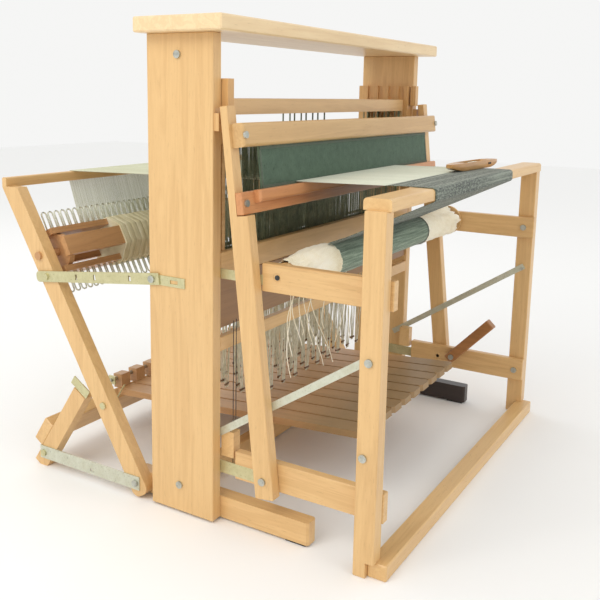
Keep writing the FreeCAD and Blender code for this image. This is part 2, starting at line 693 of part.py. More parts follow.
HOOPS = int((2 * SIZES["warp_beam_half"] - 30) / SIZES["hoop_pitch"])
hoop_rows = []
for angle in SLAT_TURNS[::2]:
    strip = slanted_box("hoop_strip_%d" % -angle, "-warp_beam_half + 10", WARP_AXIS, str(angle),
                        "-hoop_wire / 2", "drum_radius - 6",
                        f"{HOOPS} * hoop_pitch + hoop_wire", "hoop_wire", "hoop_tall")
    windows = []
    for count in range(HOOPS):
        windows.append(slanted_box("hoop_gap_%d_%d" % (-angle, count),
                                   f"-warp_beam_half + 10 + hoop_wire + {count} * hoop_pitch",
                                   WARP_AXIS, str(angle), "-hoop_wire", "drum_radius - 6 + hoop_wire",
                                   "hoop_pitch - hoop_wire", "2 * hoop_wire", "hoop_tall - 2 * hoop_wire"))
    hoop_rows.append(cut("hoop_row_%d" % -angle, strip, windows))
node(group("hoops_group", hoop_rows), "beam_hoops")

wound_outer = rod("wound_outer", "cloth_left", *WARP_AXIS, "drum_radius + 8", "cloth_right - cloth_left")
wound_inner = rod("wound_inner", "cloth_left - 1", *WARP_AXIS, "drum_radius + 1",
                  "cloth_right - cloth_left + 2")
node(cut("wound_ring", wound_outer, [wound_inner]), "wound_warp")


def web(label, points, left="cloth_left", right="cloth_right"):
    """A thin sheet across the loom that follows points in the YZ plane. Each point is
    (y, z); the sheet lies on the line and is one web thick."""
    body = add("PartDesign::Body", label + "_body")
    sketch = sketch_on(body, "YZ_Plane", label + "_sketch")
    thick = SIZES["web_thick"]
    lower = [FreeCAD.Vector(y, z, 0) for y, z in points]
    wire = Part.makePolygon(lower)
    upper = []
    for index, point in enumerate(lower):
        before = lower[max(index - 1, 0)]
        after = lower[min(index + 1, len(lower) - 1)]
        first = (point - before) if index else (after - point)
        second = (after - point) if index < len(lower) - 1 else first
        first.normalize()
        second.normalize()
        bisector = FreeCAD.Vector(-first.y - second.y, first.x + second.x, 0)
        bisector.normalize()
        spread = max(0.5, bisector.dot(FreeCAD.Vector(-first.y, first.x, 0)))
        upper.append(point + bisector * (thick / spread))
    outline = [(p.x, p.y) for p in lower] + [(p.x, p.y) for p in reversed(upper)]
    add_outline(sketch, outline)
    doc.recompute()
    pad = body.newObject("PartDesign::Pad", label + "_pad")
    pad.Profile = sketch
    pad.setExpression("Length", ref(f"{right} - ({left})"))
    doc.recompute()
    body.Placement.Base.x = SIZES["cloth_left"]
    body.setExpression(".Placement.Base.x", ref(left))
    return body


# ---- woven cloth over the breast beam, and the warp from reed to back beam ----
y_front = SIZES["castle_front"]
breast_front = y_front - SIZES["breast_reach"]
breast_back = breast_front + SIZES["breast_deep"] - 9
breast_top = SIZES["leg_tall"] + SIZES["breast_thick"]
web_gap = SIZES["web_thick"] + 0.6
roll_top = (y_front - SIZES["cloth_beam_reach"] - 8,
            SIZES["cloth_beam_tall"] + SIZES["cloth_roll_radius"] + web_gap)
lean = math.radians(SIZES["beater_lean"])
reed_up = SIZES["beater_beam_up"] + SIZES["beater_beam_tall"] + 9
reed_across = SIZES["upright_back"] - SIZES["upright_narrow"] - 14 + SIZES["reed_thick"] / 2
reed_y = (y_front - SIZES["beater_pivot_reach"] + reed_across * math.cos(lean)
          - reed_up * math.sin(lean))
back_y = y_front + SIZES["back_beam_reach"]
back_top = SIZES["back_beam_top"]


def warp_height(y):
    """The warp runs straight from the breast beam's top to the back beam's top."""
    share = max(0.0, (y - breast_back) / (back_y - breast_back))
    return breast_top + 0.8 + share * (back_top - breast_top)


def arc(center, radius, first, last, steps):
    """Points along an arc in the YZ plane, angles in degrees from +Y towards +Z."""
    angles = [math.radians(first + (last - first) * step / steps) for step in range(steps + 1)]
    return [(center[0] + radius * math.cos(angle), center[1] + radius * math.sin(angle))
            for angle in angles]


edge = breast_front
cloth_path = [roll_top, (edge + 2, SIZES["leg_tall"] - 4), (edge - 1.6, SIZES["leg_tall"] + 1)]
cloth_path += arc((edge + 9, breast_top - 9), 9.8, 180, 90, 6)
cloth_path += [(y, warp_height(y)) for y in (breast_back, reed_y - 8)]
node(web("cloth_web", cloth_path), "cloth_web")

drum = SIZES["drum_radius"] + 8 + web_gap
axis = (y_front + SIZES["warp_beam_reach"], SIZES["warp_beam_tall"])
beam_foot = (back_y + 0.9, back_top - SIZES["back_beam_tall"] - 1)
reach = math.hypot(beam_foot[0] - axis[0], beam_foot[1] - axis[1])
rise = math.atan2(beam_foot[1] - axis[1], beam_foot[0] - axis[0])
touch = rise - math.acos(drum / reach)
warp_path = [(reed_y + 8, warp_height(reed_y + 8)),
             (back_y - SIZES["back_beam_thick"] + 5, back_top + 0.8)]
warp_path += arc((back_y - 6, back_top - 6), 6.9, 90, 0, 5)
warp_path += [beam_foot, (axis[0] + drum * math.cos(touch), axis[1] + drum * math.sin(touch))]
node(web("warp_sheet", warp_path), "warp_sheet")

# ---- boat shuttle lying on the cloth near the breast beam ----
shuttle_body = add("PartDesign::Body", "shuttle_body")
shuttle_sketch = sketch_on(shuttle_body, "XY_Plane", "shuttle_sketch")
half = SIZES["shuttle_long"] / 2
wide = SIZES["shuttle_wide"] / 2
shuttle_outline = [(-half, 0), (-half * 0.86, -wide * 0.62), (-half * 0.6, -wide * 0.94),
                   (half * 0.6, -wide), (half * 0.86, -wide * 0.66), (half, 0),
                   (half * 0.86, wide * 0.66), (half * 0.6, wide), (-half * 0.6, wide),
                   (-half * 0.86, wide * 0.66)]
add_outline(shuttle_sketch, shuttle_outline)
doc.recompute()
shuttle_pad = shuttle_body.newObject("PartDesign::Pad", "shuttle_pad")
shuttle_pad.Profile = shuttle_sketch
shuttle_pad.setExpression("Length", ref("shuttle_tall"))
doc.recompute()
well_sketch = sketch_on(shuttle_body, "XY_Plane", "well_sketch")
well_sketch.AttachmentOffset = FreeCAD.Placement(FreeCAD.Vector(0, 0, SIZES["shuttle_tall"]),
                                                 FreeCAD.Rotation())
add_outline(well_sketch, [(-half * 0.42, -wide * 0.6), (half * 0.42, -wide * 0.6),
                          (half * 0.42, wide * 0.6), (-half * 0.42, wide * 0.6)])
doc.recompute()
well = shuttle_body.newObject("PartDesign::Pocket", "shuttle_well")
well.Profile = well_sketch
well.Length = SIZES["shuttle_tall"] - 6
doc.recompute()
shuttle_y = y_front - 373
shuttle_body.Placement = FreeCAD.Placement(
    FreeCAD.Vector(228, shuttle_y, warp_height(shuttle_y - 22) + SIZES["web_thick"] + 0.6),
    FreeCAD.Rotation(FreeCAD.Vector(0, 0, 1), -4.5))
node(shuttle_body, "boat_shuttle")

# ---- check every object, then write one file per node ----
doc.recompute()
faults = [item.Name for item in doc.Objects if "Invalid" in item.State or "Error" in item.State]
if faults:
    raise RuntimeError("objects that failed: " + ", ".join(faults))
if well.Shape.Volume >= shuttle_pad.Shape.Volume:
    raise RuntimeError("the shuttle's well cuts nothing")
for item, label in NODES:
    shape = item.Shape
    if shape.isNull() or not shape.isValid():
        raise RuntimeError("bad shape: " + label)
    if not shape.Solids:
        raise RuntimeError("no solid: " + label)
for item, label in NODES:
    item.Shape.exportStep("parts/%s.step" % label)
print(len(NODES), "nodes written")
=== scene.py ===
import math
import random

import bpy
import bmesh
from mathutils import Matrix, Vector


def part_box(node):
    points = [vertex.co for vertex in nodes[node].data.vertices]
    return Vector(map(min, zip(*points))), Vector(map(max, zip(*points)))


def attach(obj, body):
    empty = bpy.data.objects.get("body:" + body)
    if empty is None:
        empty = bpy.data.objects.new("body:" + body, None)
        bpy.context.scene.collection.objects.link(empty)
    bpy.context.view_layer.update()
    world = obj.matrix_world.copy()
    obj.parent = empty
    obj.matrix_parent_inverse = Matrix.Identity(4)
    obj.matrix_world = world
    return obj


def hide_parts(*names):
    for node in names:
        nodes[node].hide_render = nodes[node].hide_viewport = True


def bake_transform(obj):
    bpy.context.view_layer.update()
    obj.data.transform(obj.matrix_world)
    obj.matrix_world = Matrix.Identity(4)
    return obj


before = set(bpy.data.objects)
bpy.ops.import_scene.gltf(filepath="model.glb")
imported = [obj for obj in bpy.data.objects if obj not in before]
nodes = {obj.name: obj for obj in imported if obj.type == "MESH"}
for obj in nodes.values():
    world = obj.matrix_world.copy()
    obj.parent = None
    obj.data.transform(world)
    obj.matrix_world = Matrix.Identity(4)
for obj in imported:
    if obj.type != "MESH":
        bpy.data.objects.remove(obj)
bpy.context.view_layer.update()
bpy.ops.object.select_all(action="DESELECT")

# ---- Camera ----
# The eye is 1.15 m above the floor, beyond the front left corner, and looks slightly down.
EYE = Vector((-2.2888, -1.3464, 1.147))
AZIMUTH = math.radians(58.5)
ELEVATION = math.radians(-10.1)
ROLL = math.radians(0.9)
forward = Vector((math.sin(AZIMUTH) * math.cos(ELEVATION), math.cos(AZIMUTH) * math.cos(ELEVATION),
                  math.sin(ELEVATION)))
level_right = forward.cross(Vector((0, 0, 1))).normalized()
level_up = level_right.cross(forward)
right = math.cos(ROLL) * level_right + math.sin(ROLL) * level_up
up = -math.sin(ROLL) * level_right + math.cos(ROLL) * level_up
lens = bpy.data.cameras.new("view_lens")
lens.sensor_width = 36
lens.lens = 48.82
lens.shift_x = 0.0312
lens.shift_y = -0.1018
camera = bpy.data.objects.new("view", lens)
bpy.context.collection.objects.link(camera)
turned = Matrix((right, up, -forward)).transposed().to_4x4()
camera.matrix_world = Matrix.Translation(EYE) @ turned
bpy.context.scene.camera = camera
bpy.context.scene.view_settings.view_transform = "Standard"


# ---- Floor and light ----
# A plain pale studio: one wide floor, a bright sky and three soft panels of light.
class Flow:
    """A shader socket with arithmetic, so that patterns read as sums and products."""
    tree = None

    def __init__(self, socket):
        self.socket = socket

    def maths(self, operation, other=0.0, third=0.0):
        return Flow.node("ShaderNodeMath", {"operation": operation}, {0: self, 1: other, 2: third})

    def __add__(self, other):
        return self.maths("ADD", other)

    def __radd__(self, other):
        return self.maths("ADD", other)

    def __sub__(self, other):
        return self.maths("SUBTRACT", other)

    def __rsub__(self, other):
        return (self * -1.0) + other

    def __mul__(self, other):
        return self.maths("MULTIPLY", other)

    def __rmul__(self, other):
        return self.maths("MULTIPLY", other)

    def __truediv__(self, other):
        return self.maths("DIVIDE", other)

    def over(self, edge, soft=0.1):
        """0 below edge, 1 above edge + soft."""
        return ((self - edge) / soft).maths("MINIMUM", 1.0).maths("MAXIMUM", 0.0)

    @staticmethod
    def node(kind, settings=None, values=None, out=0):
        made = Flow.tree.nodes.new(kind)
        for key, value in (settings or {}).items():
            if key == "stops":
                ramp = made.color_ramp
                while len(ramp.elements) < len(value):
                    ramp.elements.new(0.5)
                for element, (place, colour) in zip(ramp.elements, value):
                    element.position = place
                    element.color = (*colour, 1)
            else:
                setattr(made, key, value)
        for key, value in (values or {}).items():
            if isinstance(value, Flow):
                Flow.tree.links.new(value.socket, made.inputs[key])
            elif value is not None:
                if isinstance(value, tuple) and made.inputs[key].type == "RGBA":
                    value = (*value[:3], 1)
                made.inputs[key].default_value = value
        return Flow(made.outputs[out])


def start_material(name):
    material = bpy.data.materials.new(name)
    material.use_nodes = True
    Flow.tree = material.node_tree
    return material, material.node_tree.nodes["Principled BSDF"]


def feed(shader, **links):
    for key, value in links.items():
        socket = shader.inputs[key.replace("_", " ")]
        if isinstance(value, Flow):
            Flow.tree.links.new(value.socket, socket)
        elif isinstance(value, tuple):
            socket.default_value = (*value, 1)
        else:
            socket.default_value = value


def place(scale, turn=(0, 0, 0)):
    """Object coordinates, turned and then stretched."""
    here = Flow.node("ShaderNodeTexCoord", out=3)
    return Flow.node("ShaderNodeMapping", {"vector_type": "POINT"},
                     {"Vector": here, "Scale": scale, "Rotation": turn})


def noise(where, scale, detail=3.0, roughness=0.55, distortion=0.0):
    return Flow.node("ShaderNodeTexNoise", {},
                     {"Vector": where, "Scale": scale, "Detail": detail, "Roughness": roughness,
                      "Distortion": distortion})


def ramp(value, stops):
    return Flow.node("ShaderNodeValToRGB", {"stops": stops}, {0: value})


def blend(amount, first, second):
    return Flow.node("ShaderNodeMix", {"data_type": "RGBA"}, {0: amount, 6: first, 7: second}, out=2)


def bump(height, strength, distance):
    return Flow.node("ShaderNodeBump", {}, {"Strength": strength, "Distance": distance, "Height": height})


def linear(red, green, blue):
    """A colour as seen on a screen, 0 to 255, as a linear one."""
    return tuple((part / 255 / 12.92) if part <= 10 else ((part / 255 + 0.055) / 1.055) ** 2.4
                 for part in (red, green, blue))


bpy.ops.mesh.primitive_grid_add(x_subdivisions=8, y_subdivisions=8, size=24, location=(0, 0, 0))
floor = bpy.context.object
floor.name = "studio_floor"
floor_paint, shader = start_material("floor_paint")
feed(shader, Base_Color=(0.95, 0.95, 0.945), Roughness=0.9)
floor.data.materials.append(floor_paint)

world = bpy.data.worlds.new("studio")
bpy.context.scene.world = world
world.use_nodes = True
world.node_tree.nodes["Background"].inputs["Color"].default_value = (1.0, 1.0, 0.99, 1)
world.node_tree.nodes["Background"].inputs["Strength"].default_value = 0.92


def panel_light(name, spot, aim, size, watts, tint=(1, 1, 1)):
    data = bpy.data.lights.new(name, "AREA")
    data.shape = "RECTANGLE"
    data.size, data.size_y = size
    data.energy = watts
    data.color = tint
    lamp = bpy.data.objects.new(name, data)
    lamp.location = spot
    lamp.rotation_euler = (Vector(aim) - Vector(spot)).to_track_quat("-Z", "Y").to_euler()
    bpy.context.collection.objects.link(lamp)


panel_light("key_light", (-3.6, 0.6, 3.4), (0, 0, 0.7), (2.2, 2.2), 58, (1.0, 0.97, 0.92))
panel_light("front_light", (-1.2, -4.0, 2.6), (0, 0, 0.7), (2.4, 1.6), 14, (1.0, 0.99, 0.97))
panel_light("back_light", (2.4, 3.2, 3.4), (0, 0.2, 0.6), (2.4, 2.0), 16, (0.97, 0.98, 1.0))


# ---- Boards of the castle, legs, rails and beams ----
# Varnished maple-like boards, eased at the edges. Each board's figure runs along its length,
# with fine dark pores, slow bands of colour and a little dirt where hands have been.
def wood(name, pale, dark, along, lean=0.0, gloss=0.36, contrast=1.0, seed=0.0, scale=1.0, tips=None):
    """Wood whose figure runs along X, Y or Z, then leans about X. Tips is (y, reach, colour) of
    ends that feet have worn and darkened."""
    material, shader = start_material(name)
    squeeze = {"X": (0.06, 1, 1), "Y": (1, 0.06, 1), "Z": (1, 1, 0.06)}[along]
    turned_back = (-lean, 0, 0)
    grain = place(tuple(part * scale for part in squeeze), turned_back)
    grain = Flow.node("ShaderNodeVectorMath", {"operation": "ADD"}, {0: grain, 1: (seed, seed * 0.7, seed)})
    fine = noise(grain, 190, 4, 0.6)
    bands = noise(grain, 22, 3, 0.55, 1.2)
    slow = noise(grain, 6.5, 2, 0.5)
    figure = (bands * 26.0).maths("SINE") * 0.5 + 0.5
    tone = fine * 0.34 + figure * 0.16 * contrast + bands * 0.3 + slow * 0.3
    colour = ramp(tone, [(0.2, dark), (0.42, tuple(0.62 * a + 0.38 * b for a, b in zip(pale, dark))),
                         (0.72, pale)])
    pores = noise(grain, 620, 2, 0.5)
    pits = pores.over(0.66, 0.06)
    colour = blend(pits * 0.35, colour, tuple(part * 0.55 for part in dark))
    blotch = noise(place((1, 1, 1)), 5.0, 2, 0.5).over(0.5, 0.3)
    colour = blend(blotch * 0.16, colour, tuple(part * 0.72 for part in pale))
    if tips:
        depth = Flow(Flow.node("ShaderNodeSeparateXYZ", {}, {0: place((1, 1, 1))}).socket.node.outputs[1])
        worn = (tips[0] + tips[1] * 0.5 - depth + slow * tips[1] - tips[1] * 0.5).over(0.0, tips[1])
        colour = blend(worn * 0.75, colour, tips[2])
    feed(shader, Base_Color=colour, Roughness=(fine * 0.12 + pits * 0.2 + (gloss - 0.04)),
         Coat_Weight=0.25, Coat_Roughness=0.28, Specular_IOR_Level=0.42)
    feed(shader, Normal=bump(fine * 0.5 - pits * 0.9 + bands * 0.2, 0.35, 0.0006))
    return material


HONEY = linear(226, 187, 130)
HONEY_DARK = linear(192, 147, 92)
LEAN_BACK = math.radians(-30.6)
LEAN_STRUT = math.radians(33.5)
LEAN_BEATER = math.radians(-6.67)


def paint(names, material):
    """Give CAD nodes a finish; their shapes stay as they are."""
    for name in names:
        for spot in nodes[name].material_slots:
            spot.material = material


paint(["castle_side_left", "front_leg_left"], wood("maple_tall_left", HONEY, HONEY_DARK, "Z", seed=1.3))
paint(["castle_side_right", "front_leg_right"], wood("maple_tall_right", HONEY, HONEY_DARK, "Z", seed=7.1))
# The top shelf gets a paler maple than the other boards: painted light on its upper face.
paint(["top_shelf"], wood("maple_shelf_painted_light", linear(240, 214, 170), linear(208, 168, 116), "X", seed=3.7))
paint(["castle_stretcher", "castle_ledge", "floor_stretcher", "back_beam", "brace_blocks"],
      wood("maple_cross", HONEY, HONEY_DARK, "X", seed=5.2))
paint(["breast_beam", "front_foot_rail"],
      wood("maple_front", linear(228, 190, 132), linear(198, 150, 92), "X", seed=9.4))
# The far foot rail is given a near-black brown wood colour.
paint(["foot_rail_right"], wood("near_black_brown", linear(58, 46, 42), linear(34, 27, 26), "Y", seed=5.5))
paint(["foot_rail_left", "upper_side_rails", "lower_side_rails"],
      wood("maple_rails", HONEY, linear(190, 142, 85), "Y", seed=2.8))
paint(["harness_guides"], wood("maple_guides", linear(222, 178, 118), linear(178, 128, 76), "Z", seed=4.4))
paint(["back_leg_left", "back_leg_right"],
      wood("maple_back_legs", HONEY, HONEY_DARK, "Z", LEAN_BACK, seed=6.6))
paint(["back_struts"], wood("maple_struts", HONEY, linear(188, 140, 84), "Z", LEAN_STRUT, seed=8.2))
paint(["back_stretcher"],
      wood("maple_back_stretcher", linear(226, 186, 128), linear(182, 134, 80), "X", seed=3.1))
paint(["warp_beam"], wood("cherry_slats", linear(200, 152, 104), linear(150, 104, 64), "X", seed=2.4))
paint(["cloth_beam"], wood("maple_rollers", linear(232, 192, 132), linear(186, 138, 84), "X", seed=1.9))
paint(["beater_upright_left", "beater_upright_right"],
      wood("maple_uprights", HONEY, HONEY_DARK, "Z", LEAN_BEATER, seed=2.2))
paint(["hand_tree"], wood("maple_hand_tree", linear(214, 176, 120), linear(182, 138, 86), "X", seed=5.9))
paint(["beater_beam", "shuttle_race"],
      wood("red_oak", linear(208, 146, 96), linear(168, 100, 58), "X", seed=4.1, contrast=1.3))
# The apron boards get a darker brown than the maple around them: painted shade, as they sit in shadow below
# the rails.
paint(["castle_apron"], wood("apron_painted_shade", linear(158, 118, 74), linear(122, 86, 50), "X", seed=6.3))
paint(["treadle_%d" % (count + 1) for count in range(10)],
      wood("treadle_oak", linear(204, 160, 114), linear(160, 118, 80), "Y", gloss=0.5, seed=7.7,
           tips=(-0.24, 0.16, linear(140, 116, 78))))
LEAN_BRAKE = math.radians(43.5)
paint(["brake_treadle"],
      wood("brake_oak", linear(170, 116, 66), linear(120, 76, 42), "Y", LEAN_BRAKE, seed=3.3))
paint(["harness_%d" % (count + 1) for count in range(4)],
      wood("harness_maple", linear(228, 190, 136), linear(186, 142, 92), "X", seed=8.8))


# ---- Steel: straps, braces, bolts, stay bars, links and brackets ----
# Flat bar and bolts with a yellowish zinc plating, dulled and faintly streaked.
def plated(name, bright, dull, metal=0.85, rough=0.38):
    material, shader = start_material(name)
    cloud = noise(place((1, 1, 1)), 38, 4, 0.6)
    streak = noise(place((30, 4, 4)), 22, 3, 0.5)
    spots = noise(place((1, 1, 1)), 210, 2, 0.5).over(0.62, 0.08)
    colour = ramp(cloud * 0.6 + streak * 0.4, [(0.3, dull), (0.68, bright)])
    colour = blend(spots * 0.4, colour, tuple(part * 0.5 for part in dull))
    feed(shader, Base_Color=colour, Metallic=metal, Roughness=(cloud * 0.22 + spots * 0.2 + (rough - 0.1)))
    feed(shader, Normal=bump(streak * 0.5 + spots * 0.5, 0.25, 0.0004))
    return material


zinc = plated("yellow_zinc", linear(212, 206, 164), linear(190, 184, 140), 0.6)
paint(["steel_straps", "stay_bars", "back_steel"], zinc)
paint(["frame_bolts", "beater_bolts"],
      plated("bolt_zinc", linear(206, 208, 200), linear(150, 152, 142), 0.8, 0.34))
pale_zinc = plated("pale_zinc", linear(214, 216, 200), linear(194, 194, 172), 0.5, 0.42)
paint(["steel_braces", "floor_links"], pale_zinc)
paint(["treadle_axle"], plated("bright_rod", linear(196, 198, 192), linear(134, 136, 132), 0.95, 0.3))

rubber, shader = start_material("glide_rubber")
feed(shader, Base_Color=ramp(noise(place((1, 1, 1)), 90, 3),
                             [(0.3, (0.02, 0.02, 0.02)), (0.7, (0.06, 0.06, 0.06))]),
     Roughness=0.75)
paint(["foot_glides"], rubber)


# ---- Reed ----
# Thin steel dents in a row between two bound edges, held by the beater's two beams.
def finish_mesh(name, mesh_maker, material, body):
    """A new piece whose faces mesh_maker fills in, riding on one body, or on no body if None."""
    shape = bmesh.new()
    mesh_maker(shape)
    bmesh.ops.recalc_face_normals(shape, faces=shape.faces)
    mesh = bpy.data.meshes.new(name)
    shape.to_mesh(mesh)
    shape.free()
    piece = bpy.data.objects.new(name, mesh)
    bpy.context.collection.objects.link(piece)
    piece.data.materials.append(material)
    if body:
        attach(piece, body)
    return piece


def add_bar(shape, start, end, wide, deep, side=Vector((1, 0, 0))):
    """A straight bar of rectangular section from start to end; wide lies along side."""
    start, end = Vector(start), Vector(end)
    line = (end - start).normalized()
    across = (side - line * side.dot(line)).normalized() * wide / 2
    other = line.cross(across).normalized() * deep / 2
    rings = [[shape.verts.new(point + a * across + b * other)
              for a, b in ((-1, -1), (1, -1), (1, 1), (-1, 1))] for point in (start, end)]
    for index in range(4):
        after = (index + 1) % 4
        shape.faces.new((rings[0][index], rings[0][after], rings[1][after], rings[1][index]))
    shape.faces.new(rings[0][::-1])
    shape.faces.new(rings[1])


def add_tube(shape, points, radius, sides=6, closed=False):
    """A round wire or thread through points."""
    points = [Vector(point) for point in points]
    rings = []
    count = len(points)
    for index, point in enumerate(points):
        before = points[index - 1] if (index or closed) else point
        after = points[(index + 1) % count] if (index < count - 1 or closed) else point
        line = (after - before).normalized()
        helper = Vector((1, 0, 0)) if abs(line.x) < 0.9 else Vector((0, 0, 1))
        first = line.cross(helper).normalized()
        second = line.cross(first)
        rings.append([shape.verts.new(point + radius * (math.cos(turn) * first + math.sin(turn) * second))
                      for turn in (2 * math.pi * step / sides for step in range(sides))])
    pairs = list(zip(rings, rings[1:])) + ([(rings[-1], rings[0])] if closed else [])
    for one, two in pairs:
        for index in range(sides):
            after = (index + 1) % sides
            shape.faces.new((one[index], one[after], two[after], two[index]))
    if not closed:
        shape.faces.new(rings[0][::-1])
        shape.faces.new(rings[-1])


BEATER_PIN = Vector((0, -0.2955, 0.166))
BEATER_ACROSS = Vector((0, math.cos(LEAN_BEATER), math.sin(LEAN_BEATER)))
BEATER_UP = Vector((0, -math.sin(LEAN_BEATER), math.cos(LEAN_BEATER)))


def on_beater(x, across, up_along):
    return Vector((x, 0, 0)) + BEATER_PIN + across * BEATER_ACROSS + up_along * BEATER_UP


REED_LEFT, REED_RIGHT = -0.5445, 0.5765
REED_LOW, REED_HIGH = 0.7445, 0.8535
REED_MIDDLE = -0.007
DENT_PITCH = 0.0034


def reed_dents(shape):
    count = int((REED_RIGHT - REED_LEFT) / DENT_PITCH)
    for index in range(count + 1):
        x = REED_LEFT + index * DENT_PITCH
        add_bar(shape, on_beater(x, REED_MIDDLE, REED_LOW), on_beater(x, REED_MIDDLE, REED_HIGH),
                0.0017, 0.005)


def reed_edges(shape):
    for level in (REED_LOW + 0.004, REED_HIGH - 0.004):
        for across in (REED_MIDDLE - 0.0035, REED_MIDDLE + 0.0035):
            add_bar(shape, on_beater(REED_LEFT, across, level), on_beater(REED_RIGHT, across, level),
                    0.009, 0.0025, BEATER_UP)
    for x in (REED_LEFT + 0.004, REED_RIGHT - 0.004):
        add_bar(shape, on_beater(x, REED_MIDDLE, REED_LOW), on_beater(x, REED_MIDDLE, REED_HIGH),
                0.009, 0.0065)


reed_steel = plated("reed_steel", linear(118, 144, 122), linear(92, 116, 98), 0.35, 0.42)
dents = finish_mesh("reed_dents", reed_dents, reed_steel, "beater")
edges = finish_mesh("reed_edges", reed_edges, plated("reed_binding", linear(96, 112, 94),
                                                     linear(74, 88, 72), 0.2, 0.5), "beater")
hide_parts("reed")


# ---- Heddles ----
# Flat wire heddles hang between the rails of each harness frame, dense where the warp passes.
heddle_wire = plated("heddle_wire", linear(152, 160, 130), linear(84, 96, 76), 0.35, 0.42)
random.seed(11)
for count in range(4):
    low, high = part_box("harness_%d" % (count + 1))
    middle = (low[1] + high[1]) / 2
    floor_rail, roof_rail = low[2] + 0.041, high[2] - 0.041

    def heddles(shape):
        bar_low, bar_high = floor_rail + 0.020, roof_rail - 0.052
        x = -0.545
        while x < 0.545:
            gap = 0.0062 if -0.39 < x < 0.29 else 0.0105
            lean = random.uniform(-0.002, 0.002)
            eye = (bar_low + bar_high) / 2 + random.uniform(-0.003, 0.003)
            add_bar(shape, (x, middle, bar_low - 0.006), (x + lean, middle, eye), 0.0026, 0.0008)
            add_bar(shape, (x + lean, middle, eye), (x, middle, bar_high + 0.006), 0.0026, 0.0008)
            x += gap * random.uniform(0.75, 1.3)
        for level in (bar_low, bar_high):
            add_bar(shape, (-0.566, middle, level), (0.566, middle, level), 0.010, 0.0022,
                    Vector((0, 0, 1)))
        for x in (-0.060, -0.018, 0.524):
            add_bar(shape, (x, middle, bar_high - 0.004), (x, middle, roof_rail - 0.0004), 0.0035, 0.0035)
            add_bar(shape, (x, middle, floor_rail + 0.0004), (x, middle, bar_low + 0.004), 0.0035, 0.0035)
        for x in (-0.560, 0.560):
            add_bar(shape, (x, middle, floor_rail + 0.0004), (x, middle, roof_rail - 0.0004), 0.010, 0.004)

    piece = finish_mesh("heddles_%d" % (count + 1), heddles, heddle_wire, "harness_body_%d" % (count + 1))


# ---- Woven cloth ----
# The finished web leaves the reed, lies over the breast beam and goes back to the cloth beam.
# Plain weave of dark green and grey yarn with slow stripes.
def weave(name, deep, light, stripe, across_pitch=0.0016, along_pitch=0.0016):
    material, shader = start_material(name)
    across = Flow.node("ShaderNodeUVMap", {}, {})
    parts = Flow.node("ShaderNodeSeparateXYZ", {}, {0: across})
    u = parts
    v = Flow(parts.socket.node.outputs[1])
    warp_line = (u * (2 * math.pi / across_pitch)).maths("SINE")
    weft_line = (v * (2 * math.pi / along_pitch)).maths("SINE")
    checks = warp_line * weft_line
    fuzz = noise(Flow.node("ShaderNodeVectorMath", {"operation": "MULTIPLY"}, {0: across, 1: (400, 60, 1)}),
                 1.0, 2, 0.6)
    rows = noise(Flow.node("ShaderNodeVectorMath", {"operation": "MULTIPLY"}, {0: across, 1: (1.5, 90, 1)}),
                 1.0, 3, 0.6)
    flecks = noise(Flow.node("ShaderNodeVectorMath", {"operation": "MULTIPLY"}, {0: across, 1: (75, 210, 1)}),
                   1.0, 2, 0.65).over(0.5, 0.06)
    colour = ramp(rows * 0.62 + fuzz * 0.38, [(0.42, deep), (0.5, light), (0.6, stripe)])
    colour = blend(checks.over(0.0, 0.8) * 0.35, colour, tuple(part * 0.6 for part in deep))
    colour = blend(flecks * 0.62, colour, stripe)
    feed(shader, Base_Color=colour, Roughness=(fuzz * 0.1 + 0.82), Sheen_Weight=0.25, Sheen_Roughness=0.5)
    feed(shader, Normal=bump(checks * 0.5 + fuzz * 0.4, 0.6, 0.0008))
    return material


def shade_smooth(piece):
    """Every face shades into the next, as on cloth and round wire."""
    for face in piece.data.polygons:
        face.use_smooth = True


def sheet_along(name, path, left, right_edge, material, body, edge_waver=0.0, columns=48):
    """A thin sheet across the loom: path is (y, z) points from one end to the other, and the
    UV map is metres across and metres along."""
    mesh = bpy.data.meshes.new(name)
    shape = bmesh.new()
    uv = shape.loops.layers.uv.new("cut")
    lengths = [0.0]
    for here, there in zip(path, path[1:]):
        lengths.append(lengths[-1] + math.dist(here, there))
    rows = []
    for row, (y, z) in enumerate(path):
        waver = edge_waver * math.sin(lengths[row] * 31) + edge_waver * 0.6 * math.sin(lengths[row] * 83)
        rows.append([shape.verts.new((left + waver + (right_edge - left - 2 * waver) * column / columns,
                                      y, z)) for column in range(columns + 1)])
    for row in range(len(path) - 1):
        for column in range(columns):
            face = shape.faces.new((rows[row][column], rows[row][column + 1],
                                    rows[row + 1][column + 1], rows[row + 1][column]))
            for loop, (r, c) in zip(face.loops, ((row, column), (row, column + 1),
                                                 (row + 1, column + 1), (row + 1, column))):
                loop[uv].uv = (c / columns * (right_edge - left), lengths[r])
    shape.to_mesh(mesh)
    shape.free()
    piece = bpy.data.objects.new(name, mesh)
    bpy.context.collection.objects.link(piece)
    piece.data.materials.append(material)
    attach(piece, body)
    shade_smooth(piece)
    return piece, lengths[-1]


def smooth_path(points, step=0.012):
    """More points on the same line, so that it can bend and ripple."""
    fine = [points[0]]
    for here, there in zip(points, points[1:]):
        count = max(1, round(math.dist(here, there) / step))
        fine += [(here[0] + (there[0] - here[0]) * index / count,
                  here[1] + (there[1] - here[1]) * index / count) for index in range(1, count + 1)]
    return fine


breast_low, breast_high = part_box("breast_beam")
roll_low, roll_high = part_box("cloth_roll")
reed_low, reed_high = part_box("reed")
beam_low, beam_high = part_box("back_beam")
WEB_LEFT, WEB_RIGHT = roll_low[0], roll_high[0]
FELL_Y = -0.4885
CORNER = 0.009
roll_axis = ((roll_low[1] + roll_high[1]) / 2, (roll_low[2] + roll_high[2]) / 2)
roll_radius = (roll_high[2] - roll_low[2]) / 2
warp_start = (breast_high[1] - CORNER, breast_high[2] + 0.0016)
warp_end = (beam_high[1] - 0.006, beam_high[2] + 0.0012)


